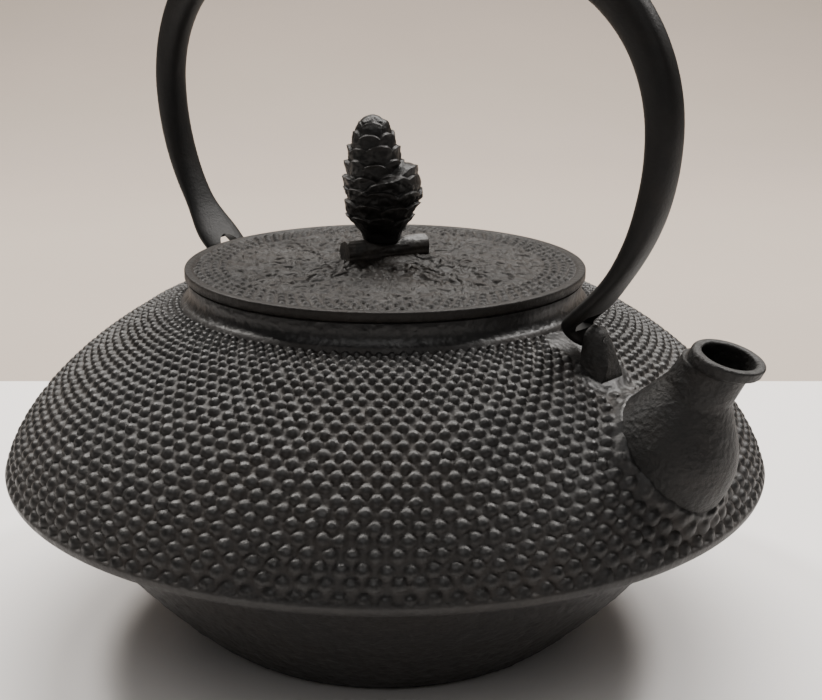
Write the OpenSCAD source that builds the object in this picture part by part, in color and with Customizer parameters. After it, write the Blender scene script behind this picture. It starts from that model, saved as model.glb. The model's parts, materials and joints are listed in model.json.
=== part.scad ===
// Cast iron teapot with a bail handle.
// Frame: origin at the centre of the resting face, +Z up, +X towards the spout.
// Millimetres.

/* [Body] */
// Diameter of the brim, the widest edge of the body
brim_d = 220; // [190:1:264]
// Height of the brim edge above the resting face
brim_h = 49.5; // [41:0.5:60]
// Height of the shoulder, from the brim edge to the foot of the collar
shoulder_h = 48.6; // [40:0.2:58]
// Diameter of the flat resting face
base_d = 111; // [92:1:134]
// Thickness of the cast wall
wall = 3.6; // [3:0.1:4.4]
// Thickness of the floor
floor_t = 4; // [3:0.1:5]

/* [Mouth] */
// Diameter of the collar where it leaves the shoulder
collar_d = 117.4; // [112:0.2:141]
// Height of the collar
collar_h = 6.5; // [5.4:0.1:8]
// How far the middle of the collar is drawn in
collar_waist = 1.4; // [1:0.1:1.7]
// Diameter of the mouth below the step that carries the infuser
mouth_d = 95; // [79:0.5:96]
// Width of the step that carries the infuser
seat_w = 3; // [2.5:0.1:3.6]
// Depth of the step below the top of the collar
seat_depth = 6; // [5:0.1:7.2]

/* [Spout] */
// How far the centre of the lip stands out past the brim
lip_reach = 1.8; // [-2:0.1:5]
// Height of the centre of the lip above the foot of the collar
lip_rise = 3; // [0:0.1:6]
// Outer diameter of the lip
lip_d = 18; // [17:0.1:21.6]
// Diameter of the pouring hole
throat_d = 13.2; // [11:0.1:14.4]
// Lean of the spout's axis away from upright
spout_lean = 27.5; // [23:0.5:32]
// Lean of the lip's face away from level
lip_lean = 15.5; // [10:0.5:22]
// Largest radius of the spout, where it swells out of the shoulder
swell_r = 17; // [14.2:0.1:20.4]

/* [Lugs] */
// Gap between the collar and the inner face of each lug
lug_gap = 13.3; // [12.3:0.1:16]
// Thickness of each lug at its top
lug_t = 4.6; // [3.9:0.1:5.5]
// Thickness of each lug at its foot
lug_foot_t = 8.6; // [7.2:0.1:9.5]
// Radius of the lug's round top about the pivot
lug_r = 4.1; // [3.8:0.1:4.9]
// Width of the lug's foot
lug_w = 14; // [11.8:0.1:16.8]
// Height of the pivot above the shoulder at the lug's inner face
pivot_rise = 4.4; // [4.2:0.1:5.2]

/* [Handle] */
// Diameter of the peg at each end of the handle
peg_d = 4.2; // [3.5:0.1:4.6]
// Radial clearance between a peg and its lug
peg_clearance = 0.08; // [0.05:0.01:0.1]
// How far the handle is stored from upright, turned about its pegs
handle_lean = 1.7; // [-10:0.1:10]
// Half of the handle's width at its widest, to the centre line
handle_reach = 91.4; // [85:0.1:105]
// Height of the handle's widest place above the pivot
bow_rise = 54.7; // [45.6:0.1:65.6]
// Radius of the upper corners, on the centre line
corner_r = 43.5; // [36.3:0.1:52.2]
// Slope of the crown where it meets the corners
crown_slope = 16; // [13:0.5:19]
// Radius of the hook at each foot, on the centre line
hook_r = 3.4; // [2.9:0.1:4]
// Gap between each foot and its lug
foot_gap = 0.5; // [0.4:0.05:0.7]
// Thickness of the grip, seen from the side
grip_t = 12.6; // [10.5:0.1:15.1]
// Width of the grip, seen from above
grip_w = 10; // [8.4:0.1:12]
// Thickness of the flattened feet
foot_t = 4.2; // [3.5:0.1:4.6]
// Width of the flattened feet
foot_w = 16; // [13:0.1:16.5]
// Width of the window in each foot
window_w = 8; // [6.7:0.1:8.4]
// Height of the window in each foot
window_h = 5; // [4.2:0.1:5.4]

/* [Lid] */
// How far the lid stands out past the top of the collar
lid_overhang = 0.6; // [0.2:0.1:1]
// Thickness of the lid at its edge
lid_t = 2.75; // [2.3:0.05:3.3]
// Rise of the lid's middle above its edge
lid_crown = 1.2; // [1:0.1:1.4]
// Thickness of the ring that centres the lid
ring_t = 3.5; // [2.9:0.1:4.2]
// Gap between the lid and the collar it rests on
lid_gap = 0.05; // [0.02:0.01:0.06]
// Gap around the lid's ring
ring_clearance = 0.4; // [0.3:0.05:0.5]

/* [Knob] */
// Height of the pine cone
cone_h = 36; // [30:0.5:43]
// Diameter of the pine cone at its widest
cone_d = 22.8; // [19:0.2:27.4]
// Lean of the pine cone away from upright
cone_lean = 3; // [2:0.5:4]
// Length of the twig
twig_l = 26; // [22:0.5:31]
// Diameter of the twig
twig_d = 6.4; // [6:0.1:7.6]
// Direction of the twig, turned from the spout
twig_turn = 70; // [0:1:180]
// Diameter of the rivet's shank
rivet_d = 4; // [3.4:0.1:4.8]
// Gap around the rivet's shank in the twig, the lid and the washer
rivet_clearance = 0.05; // [0.03:0.01:0.06]
// Depth of the rivet in the pine cone
rivet_hold = 10; // [8.4:0.1:12]
// Diameter of the washer under the lid
washer_d = 13; // [11:0.1:15.6]
// Thickness of the washer
washer_t = 1.2; // [1:0.1:1.4]
// Diameter of the rivet's hammered head
head_d = 7.6; // [6.9:0.1:9]
// Height of the rivet's hammered head
head_h = 2; // [1.7:0.1:2.4]

/* [Infuser] */
// Outer diameter of the basket
basket_d = 88; // [73:0.5:90]
// Depth of the basket below its rim
basket_h = 50; // [41:0.5:60]
// Thickness of the basket's sheet
sheet_t = 0.8; // [0.7:0.05:1]
// Thickness of the rim
rim_t = 1; // [0.8:0.05:1.2]
// Gap between the rim and the lid's ring above it
rim_gap = 0.5; // [0.4:0.05:0.6]

/* [Hidden] */
$fn = 96;

// Sides of a shape that only blends or fills
soft_fn = 32;
// Amount that a cut runs past the face it opens
over = 1;
// Depth of a lug's root below its pivot, inside the shoulder
lug_root = 11;

brim_r = brim_d / 2;
collar_r = collar_d / 2;
base_r = base_d / 2;
mouth_r = mouth_d / 2;
seat_r = mouth_r + seat_w;
neck_z = brim_h + shoulder_h;
collar_z = neck_z + collar_h;
seat_z = collar_z - seat_depth;
lid_z = collar_z + lid_gap;
lid_r = collar_r - collar_waist + lid_overhang;
lid_top = lid_z + lid_t + lid_crown;
ring_r = seat_r - ring_clearance;
lip_x = brim_r + lip_reach;
lip_z = neck_z + lip_rise;
lug_x = collar_r + lug_gap;

// Round stretches of an outline, as Bezier curves of three or four points
function curve3(a, b, c, n) =
    [for (i = [0:n]) let (t = i / n) (1-t)*(1-t)*a + 2*t*(1-t)*b + t*t*c];
function curve4(a, b, c, d, n) =
    [for (i = [0:n]) let (t = i / n) pow(1-t, 3)*a + 3*t*pow(1-t, 2)*b + 3*t*t*(1-t)*c + pow(t, 3)*d];
function but_first(p) = [for (i = [1:len(p)-1]) p[i]];
function reversed(p) = [for (i = [len(p)-1:-1:0]) p[i]];
// A path moved sideways by d, to the left of its direction
function shifted(p, d) =
    [for (i = [0:len(p)-1])
        let (v = p[min(i+1, len(p)-1)] - p[max(i-1, 0)])
        p[i] + d * [-v.y, v.x] / norm(v)];

// A point of the shoulder, as shares of its run outwards and of its drop
function on_shoulder(run, drop) =
    [collar_r + run * (brim_r - collar_r), neck_z - drop * shoulder_h];

shoulder = concat(
    curve3(on_shoulder(0, 0), on_shoulder(0.165, 0.025), on_shoulder(0.315, 0.142), 5),
    but_first(curve4(on_shoulder(0.315, 0.142), on_shoulder(0.60, 0.311),
                     on_shoulder(0.961, 0.655), on_shoulder(1.0195, 0.947), 12)));
pivot_z = lookup(lug_x, shoulder) + pivot_rise;
// Where the conical wall meets the hollow underside of the brim
brim_root = [brim_r - 13, brim_h - 3.3];
cone_wall = curve3([base_r, 0],
                   [base_r + 0.39 * (brim_root.x - base_r), 0.26 * brim_root.y],
                   brim_root, 6);
lip_roll = curve3(shoulder[len(shoulder)-1], [brim_r + 0.9, brim_h + 0.4], [brim_r - 0.6, brim_h], 4);
collar_curve = curve3([collar_r, neck_z], [collar_r - 2*collar_waist, neck_z + 0.3*collar_h],
                      [collar_r - collar_waist, collar_z], 5);

module body_outside() {
    rotate_extrude()
        polygon(concat([[0, 0]], cone_wall, reversed(concat(shoulder, lip_roll)),
                       but_first(collar_curve), [[0, collar_z]]));
}

module body_inside() {
    rotate_extrude()
        polygon(concat([[0, floor_t], [base_r - wall, floor_t]],
                       but_first(shifted(cone_wall, wall)),
                       reversed(shifted(shoulder, -wall)),
                       [[mouth_r, neck_z - wall], [mouth_r, seat_z], [seat_r, seat_z],
                        [seat_r, collar_z + over], [0, collar_z + over]]));
}

// Puts a shape drawn with its axis down -Z under the lip in the spout's place
module in_spout() {
    translate([lip_x, 0, lip_z]) rotate([0, spout_lean, 0]) children();
}

module spout_outside() {
    lip_r = lip_d / 2;
    difference() {
        in_spout()
            rotate_extrude()
                polygon(concat([[0, 4], [lip_r, 4], [lip_r, -2.4]],
                               but_first(curve3([lip_r, -2.4], [lip_r - 1.6, -7], [lip_r, -13], 4)),
                               but_first(curve4([lip_r, -13], [0.75*swell_r, -20],
                                                [1.04*swell_r, -26], [swell_r, -34], 6)),
                               but_first(curve3([swell_r, -34], [swell_r, -44], [0, -46], 4))));
        translate([lip_x, 0, lip_z]) rotate([0, lip_lean, 0])
            translate([-lip_d, -lip_d, 0]) cube(2 * lip_d);
    }
}

module spout_inside() {
    throat_r = throat_d / 2;
    in_spout() {
        translate([0, 0, -16]) cylinder(r = throat_r, h = 30);
        rotate_extrude()
            polygon(concat([[0, -16 + over], [throat_r, -16 + over]],
                           curve3([throat_r, -16], [throat_r, -24], [0.6*swell_r, -30], 4),
                           [[0.6*swell_r, -35], [0, -38]]));
    }
}

module lug() {
    translate([lug_x, 0, pivot_z])
        hull() {
            rotate([0, 90, 0]) cylinder(r = lug_r, h = lug_t, $fn = soft_fn);
            intersection() {
                translate([0, -lug_w/2, -lug_root]) cube([lug_foot_t, lug_w, 2]);
                translate([0, 0, -lug_root]) scale([1, 0.5 * lug_w / lug_foot_t, 1])
                    cylinder(r = lug_foot_t, h = 2, $fn = soft_fn);
            }
        }
}

module lug_bore() {
    translate([lug_x - over, 0, pivot_z]) rotate([0, 90, 0])
        cylinder(d = peg_d + 2*peg_clearance, h = lug_t + 2*peg_clearance + over);
}

module both_ends() {
    children();
    mirror([1, 0, 0]) children();
}

module kettle_body() {
    color([0.16, 0.15, 0.14])
    difference() {
        union() {
            body_outside();
            spout_outside();
            both_ends() lug();
        }
        body_inside();
        spout_inside();
        both_ends() lug_bore();
    }
}

// Centre line of one half of the handle, from the top of the crown to the hook's end
bow_z = pivot_z + bow_rise;
corner_x = handle_reach - corner_r;
// The lower bow runs from the widest place into a hook that ends beside the lug
hook_x = lug_x - foot_gap;
hook_in = handle_reach - hook_x;
bow_r = (pow(bow_rise - hook_r, 2) / (hook_r + hook_in) - hook_r + hook_in) / 2;
bow_x = handle_reach - bow_r;
crown_end = corner_x + corner_r * sin(crown_slope);
crown_r = crown_end / sin(crown_slope);
crown_z = bow_z + corner_r * cos(crown_slope) - crown_r * cos(crown_slope);
// Angle of the bow at which the hook starts
hook_start = asin((bow_rise - hook_r) / (bow_r + hook_r));
half_line = concat(
    [for (i = [0:5]) let (a = crown_slope * i / 6) [crown_r * sin(a), crown_z + crown_r * cos(a)]],
    [for (i = [0:8]) let (a = 90 - crown_slope - (90 - crown_slope) * i / 8)
        [corner_x + corner_r * cos(a), bow_z + corner_r * sin(a)]],
    [for (i = [1:8]) let (a = -hook_start * i / 8)
        [bow_x + bow_r * cos(a), bow_z + bow_r * sin(a)]],
    [for (i = [1:8]) let (a = 180 - hook_start + (90 + hook_start) * i / 8)
        [hook_x + hook_r * cos(a), pivot_z + hook_r + hook_r * sin(a)]]);
half_n = len(half_line) - 1;
line = concat([for (i = [half_n:-1:1]) [-half_line[i].x, half_line[i].y]], half_line);
function run_to(i) = i == 0 ? 0 : run_to(i - 1) + norm(half_line[i] - half_line[i - 1]);
half_run = run_to(half_n);

// Half thickness and half width along a half, by the share of the way from crown to hook
function half_t(s) = lookup(s, [[0, grip_t/2], [0.35, 0.48*grip_t], [0.55, 0.4*grip_t],
                                [0.75, 0.3*grip_t], [0.88, foot_t/2], [0.96, foot_t/2],
                                [1, peg_d/2]]);
function half_w(s) = lookup(s, [[0, grip_w/2], [0.35, 0.46*grip_w], [0.55, 0.44*grip_w],
                                [0.75, 0.3*foot_w], [0.87, 0.32*foot_w], [0.93, foot_w/2],
                                [0.965, 0.48*foot_w], [0.985, 0.28*foot_w], [1, peg_d/2]]);
ring_n = 16;
// Rounds a sine or cosine towards a full, softly cornered section
function full(v) = sign(v) * pow(abs(v), 0.84);
// One ring of the sweep around a point of the line
function ring_at(i) =
    let (p = line[i],
         v = line[min(i+1, len(line)-1)] - line[max(i-1, 0)],
         side = [-v.y, v.x] / norm(v),
         s = run_to(abs(i - half_n)) / half_run)
    [for (k = [0:ring_n-1]) let (a = 360 * k / ring_n)
        [p.x + side.x * half_t(s) * full(cos(a)), half_w(s) * full(sin(a)),
         p.y + side.y * half_t(s) * full(cos(a))]];

module handle_sweep() {
    rings = len(line);
    polyhedron(
        points = [for (i = [0:rings-1]) each ring_at(i)],
        faces = concat(
            [[for (k = [ring_n-1:-1:0]) k]],
            [for (i = [0:rings-2], k = [0:ring_n-1], half = [0:1])
                let (a = i*ring_n, b = a + ring_n, m = (k+1) % ring_n)
                half == 0 ? [a + k, b + m, b + k] : [a + k, a + m, b + m]],
            [[for (k = [0:ring_n-1]) (rings-1)*ring_n + k]]));
}

module peg() {
    translate([hook_x - over, 0, pivot_z]) rotate([0, 90, 0])
        cylinder(d = peg_d, h = lug_x + lug_t - hook_x + over);
}

module window() {
    window_z = pivot_z + hook_r + 0.5;
    translate([hook_x - hook_r - foot_t, 0, window_z]) rotate([90, 0, 90])
        linear_extrude(2 * foot_t)
            hull() {
                translate([-window_w/2, -1]) square([window_w, 1.5]);
                translate([0, window_h - window_w/2]) circle(d = window_w, $fn = soft_fn);
            }
}

module handle() {
    color([0.20, 0.19, 0.18])
    translate([0, 0, pivot_z]) rotate([handle_lean, 0, 0]) translate([0, 0, -pivot_z])
        difference() {
            union() {
                handle_sweep();
                both_ends() peg();
            }
            both_ends() window();
        }
}

module lid_plate() {
    color([0.17, 0.16, 0.15])
    difference() {
        union() {
            rotate_extrude()
                polygon(concat([[0, lid_z], [lid_r, lid_z]],
                               curve3([lid_r, lid_z + lid_t - 0.6], [lid_r, lid_z + lid_t],
                                      [lid_r - 0.8, lid_z + lid_t], 3),
                               but_first(curve3([lid_r - 0.8, lid_z + lid_t], [lid_r/2, lid_top],
                                                [0, lid_top], 8))));
            translate([0, 0, seat_z + rim_t + rim_gap])
                cylinder(r = ring_r, h = lid_z - seat_z - rim_t - rim_gap + over);
        }
        translate([0, 0, seat_z])
            cylinder(r = ring_r - ring_t, h = lid_z - seat_z);
        cylinder(d = rivet_d + 2*rivet_clearance, h = lid_top + over);
    }
}

// The twig lies on the crown of the lid, and the pine cone grows from its upper side
twig_z = lid_top + twig_d/2 - 0.3;
cone_foot_z = lid_top + twig_d;

module twig() {
    color([0.15, 0.14, 0.13])
    difference() {
        translate([0, 0, twig_z]) rotate([90, 0, 90 + twig_turn])
            cylinder(d = twig_d, h = twig_l, center = true);
        cylinder(d = 3 * twig_l, h = lid_top);
        cylinder(d = rivet_d + 2*rivet_clearance, h = 2 * lid_top);
        translate([-twig_l, -twig_l, cone_foot_z - 0.8]) cube([2*twig_l, 2*twig_l, twig_d]);
    }
}

module pine_cone() {
    r = cone_d / 2;
    color([0.15, 0.14, 0.13])
    difference() {
        translate([0, 0, cone_foot_z - 0.8]) {
            cylinder(r = 0.46 * r, h = 2);
            translate([0, 0, over]) rotate([0, -cone_lean, twig_turn])
                rotate_extrude()
                    polygon(concat([[0, 0], [0.42*r, 0]],
                        but_first(curve4([0.42*r, 0], [1.15*r, 0.2*cone_h],
                                         [1.15*r, 0.5*cone_h], [0.72*r, 0.76*cone_h], 8)),
                        but_first(curve3([0.72*r, 0.76*cone_h], [0.5*r, cone_h - over], [0, cone_h - over], 5))));
        }
        translate([0, 0, lid_top]) cylinder(d = rivet_d, h = twig_d + rivet_hold);
    }
}

module knob_washer() {
    color([0.45, 0.43, 0.40])
    translate([0, 0, lid_z - washer_t])
        difference() {
            cylinder(d = washer_d, h = washer_t);
            translate([0, 0, -over]) cylinder(d = rivet_d + 2*rivet_clearance, h = washer_t + 2*over);
        }
}

module knob_rivet() {
    head_z = lid_z - washer_t;
    color([0.50, 0.48, 0.45])
    union() {
        translate([0, 0, head_z])
            cylinder(d = rivet_d, h = lid_top + twig_d + rivet_hold - head_z);
        translate([0, 0, head_z - head_h])
            rotate_extrude()
                polygon(concat([[0, 0]],
                    curve3([0.28*head_d, 0], [head_d/2, 0.2*head_h], [head_d/2, head_h], 4),
                    [[0, head_h]]));
    }
}

module infuser_rim() {
    color([0.72, 0.73, 0.74])
    translate([0, 0, seat_z])
        difference() {
            cylinder(r = ring_r, h = rim_t);
            translate([0, 0, -over]) cylinder(d = basket_d - 2*sheet_t, h = rim_t + 2*over);
        }
}

module infuser_wall() {
    color([0.72, 0.73, 0.74])
    translate([0, 0, seat_z - basket_h])
        difference() {
            cylinder(d = basket_d, h = basket_h);
            translate([0, 0, -over]) cylinder(d = basket_d - 2*sheet_t, h = basket_h + 2*over);
        }
}

module infuser_floor() {
    color([0.72, 0.73, 0.74])
    translate([0, 0, seat_z - basket_h - sheet_t])
        cylinder(d = basket_d, h = sheet_t);
}

kettle_body();
handle();
lid_plate();
pine_cone();
twig();
knob_rivet();
knob_washer();
infuser_rim();
infuser_wall();
infuser_floor();
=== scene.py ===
"""Cast iron teapot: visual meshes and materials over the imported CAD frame, in metres."""
import json
import math

import bmesh
import bpy
import numpy as np
from mathutils import Matrix, Vector


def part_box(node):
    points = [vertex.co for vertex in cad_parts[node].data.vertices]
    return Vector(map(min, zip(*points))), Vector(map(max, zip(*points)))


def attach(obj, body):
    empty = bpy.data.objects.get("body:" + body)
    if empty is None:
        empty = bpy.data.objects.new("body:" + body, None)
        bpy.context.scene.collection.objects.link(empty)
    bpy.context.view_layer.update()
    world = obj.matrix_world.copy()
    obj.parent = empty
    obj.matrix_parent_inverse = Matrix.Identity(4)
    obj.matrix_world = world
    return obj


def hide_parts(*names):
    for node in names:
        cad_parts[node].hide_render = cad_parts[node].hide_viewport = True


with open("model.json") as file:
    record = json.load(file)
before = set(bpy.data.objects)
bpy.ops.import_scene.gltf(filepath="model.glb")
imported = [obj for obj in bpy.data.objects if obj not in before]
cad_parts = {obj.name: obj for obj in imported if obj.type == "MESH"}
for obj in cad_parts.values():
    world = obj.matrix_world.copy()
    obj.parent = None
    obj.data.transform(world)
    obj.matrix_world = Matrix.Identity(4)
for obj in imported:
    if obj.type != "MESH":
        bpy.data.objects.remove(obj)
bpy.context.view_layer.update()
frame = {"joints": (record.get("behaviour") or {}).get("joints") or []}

MM = 0.001
TAU = 2 * math.pi

# Design sizes in mm, as in the CAD part
BRIM_R, BRIM_H, SHOULDER_H, BASE_R = 110.0, 49.5, 48.6, 55.5
COLLAR_R, COLLAR_H, COLLAR_WAIST = 58.7, 6.5, 1.4
MOUTH_R, SEAT_W, SEAT_DEPTH, WALL, FLOOR_T = 47.5, 3.0, 6.0, 3.6, 4.0
NECK_Z = BRIM_H + SHOULDER_H
COLLAR_Z = NECK_Z + COLLAR_H
SEAT_Z = COLLAR_Z - SEAT_DEPTH
SEAT_R = MOUTH_R + SEAT_W
LIP_X, LIP_Z, LIP_R, THROAT_R = BRIM_R + 1.8, NECK_Z + 3.0, 9.0, 6.6
SPOUT_LEAN, LIP_LEAN, SWELL_R = math.radians(27.5), math.radians(15.5), 17.0
LUG_X, LUG_T, LUG_FOOT_T, LUG_R, LUG_W, LUG_ROOT = 72.0, 4.6, 8.6, 4.1, 14.0, 11.0
PEG_R, PEG_CLEARANCE = 2.1, 0.08
PIVOT = [j for j in frame["joints"] if j["name"] == "handle_swing"][0]["pos_m"]
PIVOT_Z = PIVOT[2] / MM
HANDLE_LEAN, HANDLE_REACH, BOW_RISE, CORNER_R = math.radians(1.7), 91.4, 54.7, 43.5
CROWN_SLOPE, HOOK_R, FOOT_GAP = math.radians(16), 3.4, 0.5
GRIP_T, GRIP_W, FOOT_T, FOOT_W, WINDOW_W, WINDOW_H = 12.6, 10.0, 4.2, 16.0, 8.0, 5.0
STUD_DROP = 1.05          # how far the ground lies below the studs' tops
STUDS_ROUND = 128         # studs in each ring of the shoulder
RING_FIRST, RING_LAST = 70.6, 1.0         # outermost and innermost ring, along the shoulder
RING_PITCH, STUD_SIZE = 0.0316, 0.0184    # step between rings and stud radius, share of radius
LID_STUDS_ROUND = 88

_, lid_hi = (np.array(v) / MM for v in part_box("lid_plate"))
LID_R, LID_TOP = lid_hi[0], lid_hi[2]
LID_Z, LID_T = COLLAR_Z + 0.05, 2.75
cone_lo, cone_hi = (np.array(v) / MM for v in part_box("pine_cone"))
CONE_FOOT, CONE_TOP = cone_lo[2], cone_hi[2]
TWIG_TURN, TWIG_L, TWIG_R = math.radians(70), 26.0, 3.2
SHEET = 0.8               # thickness of the infuser's wall
HOLE_SHARE = 0.23         # radius of the infuser's holes as a share of their pitch


# ---------------------------------------------------------------- numbers
def smooth(a, b, x):
    """Eases from 0 at a to 1 at b."""
    t = np.clip((x - a) / (b - a), 0, 1)
    return t * t * (3 - 2 * t)


def bezier(points, n):
    """n + 1 points of a curve with three or four control points."""
    p = np.array(points, float)
    t = np.linspace(0, 1, n + 1)[:, None]
    if len(p) == 3:
        return (1 - t) ** 2 * p[0] + 2 * t * (1 - t) * p[1] + t * t * p[2]
    return ((1 - t) ** 3 * p[0] + 3 * t * (1 - t) ** 2 * p[1]
            + 3 * t * t * (1 - t) * p[2] + t ** 3 * p[3])


def joined(*runs):
    """One path from several, without the point that two runs share."""
    out = [np.array(runs[0], float)]
    for r in runs[1:]:
        r = np.array(r, float)
        out.append(r[1:] if np.allclose(r[0], out[-1][-1]) else r)
    return np.concatenate(out)


def arc_length(path):
    return np.concatenate([[0], np.cumsum(np.linalg.norm(np.diff(path, axis=0), axis=1))])


def turn(cols):
    """Angles of a full turn in equal steps."""
    return np.arange(cols) / cols * TAU


def spun(line, theta):
    """Grid of points from a line of (r, z) turned about Z."""
    points = np.empty((len(line), len(theta), 3))
    points[..., 0] = line[:, :1] * np.cos(theta)
    points[..., 1] = line[:, :1] * np.sin(theta)
    points[..., 2] = line[:, 1:]
    return points


def resampled(path, step):
    """The path again, in equal steps of about that length."""
    s = arc_length(path)
    n = max(2, int(round(s[-1] / step)) + 1)
    at = np.linspace(0, s[-1], n)
    return np.column_stack([np.interp(at, s, path[:, k]) for k in range(path.shape[1])])


_rng = np.random.default_rng(11)
_PERM = np.tile(_rng.permutation(256), 3)
_GRAD = _rng.normal(size=(256, 3))
_GRAD /= np.linalg.norm(_GRAD, axis=1)[:, None]


def noise(p, size):
    """Smooth gradient noise, about -0.7 to 0.7, with features of that size in mm."""
    q = np.asarray(p, float) / size
    i = np.floor(q).astype(int)
    f = q - i
    u = f * f * f * (f * (f * 6 - 15) + 10)
    total = np.zeros(q.shape[:-1])
    for dx in (0, 1):
        for dy in (0, 1):
            for dz in (0, 1):
                h = _PERM[_PERM[_PERM[(i[..., 0] + dx) & 255] + ((i[..., 1] + dy) & 255)]
                          + ((i[..., 2] + dz) & 255)]
                corner = np.array([dx, dy, dz])
                w = np.prod(np.where(corner == 1, u, 1 - u), axis=-1)
                total += w * np.sum(_GRAD[h] * (f - corner), axis=-1)
    return total


# ---------------------------------------------------------------- meshes
def build(name, verts, faces, smooth_angle=None):
    """An object from points in mm and a list of face arrays, each of one side count."""
    me = bpy.data.meshes.new(name)
    faces = [np.asarray(f) for f in faces if len(f)]
    loops = np.concatenate([f.ravel() for f in faces])
    sizes = np.concatenate([np.full(len(f), f.shape[1]) for f in faces])
    me.vertices.add(len(verts))
    me.vertices.foreach_set("co", (np.asarray(verts, float) * MM).ravel())
    me.loops.add(len(loops))
    me.loops.foreach_set("vertex_index", loops.astype(np.int32))
    me.polygons.add(len(sizes))
    starts = np.concatenate([[0], np.cumsum(sizes)[:-1]]).astype(np.int32)
    me.polygons.foreach_set("loop_start", starts)
    me.update(calc_edges=True)
    me.validate()
    me.polygons.foreach_set("use_smooth", np.ones(len(me.polygons), bool))
    if smooth_angle:
        me.set_sharp_from_angle(angle=math.radians(smooth_angle))
    o = bpy.data.objects.new(name, me)
    bpy.context.scene.collection.objects.link(o)
    return o


def grid_faces(rows, cols, close_rows=False, keep=None):
    """Quads over a grid whose columns close on themselves. Rows run so that normals face out."""
    r = np.arange(rows if close_rows else rows - 1)
    c = np.arange(cols)
    a = r[:, None] * cols + c
    b = r[:, None] * cols + (c + 1) % cols
    up = ((r + 1) % rows)[:, None] * cols
    f = np.stack([a, b, up + (c + 1) % cols, up + c], axis=-1)
    if keep is not None:
        f = f[keep[:len(r)]]
    return f.reshape(-1, 4)


def fan(ring, centre, flip=False):
    """Triangles from a ring of points to one centre."""
    nxt = np.roll(ring, -1)
    tri = np.column_stack([ring, nxt, np.full(len(ring), centre)])
    return tri[:, ::-1] if flip else tri


def attribute(o, name, values):
    """A grey colour attribute, one value for each point."""
    a = o.data.color_attributes.new(name=name, type="FLOAT_COLOR", domain="POINT")
    v = np.asarray(values, float).ravel()
    a.data.foreach_set("color", np.column_stack([v, v, v, np.ones_like(v)]).ravel())


def profile_normals(path):
    """Unit normals on the left of a path of (r, z)."""
    d = np.gradient(path, axis=0)
    n = np.column_stack([-d[:, 1], d[:, 0]])
    return n / np.linalg.norm(n, axis=1)[:, None]


def place(o, material, body, node):
    """Gives a piece its material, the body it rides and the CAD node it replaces."""
    o.data.materials.append(material)
    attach(o, body)
    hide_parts(node)


def hoop(name, loop, cols, angle):
    """A ring about Z from a closed outline of (r, z) in mm."""
    faces = grid_faces(len(loop), cols, close_rows=True)
    return build(name, spun(loop, turn(cols)).reshape(-1, 3), [faces], smooth_angle=angle)


# ---------------------------------------------------------------- materials
def node_tree(name):
    m = bpy.data.materials.new(name)
    m.use_nodes = True
    t = m.node_tree
    return m, t, t.nodes["Principled BSDF"]


def noise_node(t, scale, detail=4.0, rough=0.55, kind=None, stretch=None):
    """Object-space noise or Voronoi cells; scale is in features per metre."""
    co = t.nodes.new("ShaderNodeTexCoord")
    src = co.outputs["Object"]
    if stretch:
        mp = t.nodes.new("ShaderNodeMapping")
        mp.inputs["Scale"].default_value = stretch
        t.links.new(src, mp.inputs["Vector"])
        src = mp.outputs["Vector"]
    if kind == "voronoi":
        n = t.nodes.new("ShaderNodeTexVoronoi")
        n.inputs["Scale"].default_value = scale
        t.links.new(src, n.inputs["Vector"])
        return n.outputs["Distance"]
    n = t.nodes.new("ShaderNodeTexNoise")
    n.inputs["Scale"].default_value = scale
    n.inputs["Detail"].default_value = detail
    n.inputs["Roughness"].default_value = rough
    t.links.new(src, n.inputs["Vector"])
    return n.outputs["Fac"]


def mix(t, fac, a, b):
    """Mixes two colours, each a socket or a tuple."""
    m = t.nodes.new("ShaderNodeMix")
    m.data_type = "RGBA"
    t.links.new(fac, m.inputs[0])
    for socket, v in ((m.inputs[6], a), (m.inputs[7], b)):
        if isinstance(v, tuple):
            socket.default_value = (*v, 1)
        else:
            t.links.new(v, socket)
    return m.outputs[2]


def to_range(t, value, lo, hi, from_lo=0.0, from_hi=1.0):
    m = t.nodes.new("ShaderNodeMapRange")
    m.inputs["From Min"].default_value = from_lo
    m.inputs["From Max"].default_value = from_hi
    m.inputs["To Min"].default_value = lo
    m.inputs["To Max"].default_value = hi
    t.links.new(value, m.inputs["Value"])
    return m.outputs["Result"]


def bump(t, heights, bsdf):
    """Chains (height socket, strength, distance in m) into the shader's normal."""
    last = None
    for h, strength, distance in heights:
        b = t.nodes.new("ShaderNodeBump")
        b.inputs["Strength"].default_value = strength
        b.inputs["Distance"].default_value = distance
        t.links.new(h, b.inputs["Height"])
        if last is not None:
            t.links.new(last, b.inputs["Normal"])
        last = b.outputs["Normal"]
    t.links.new(last, bsdf.inputs["Normal"])


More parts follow.
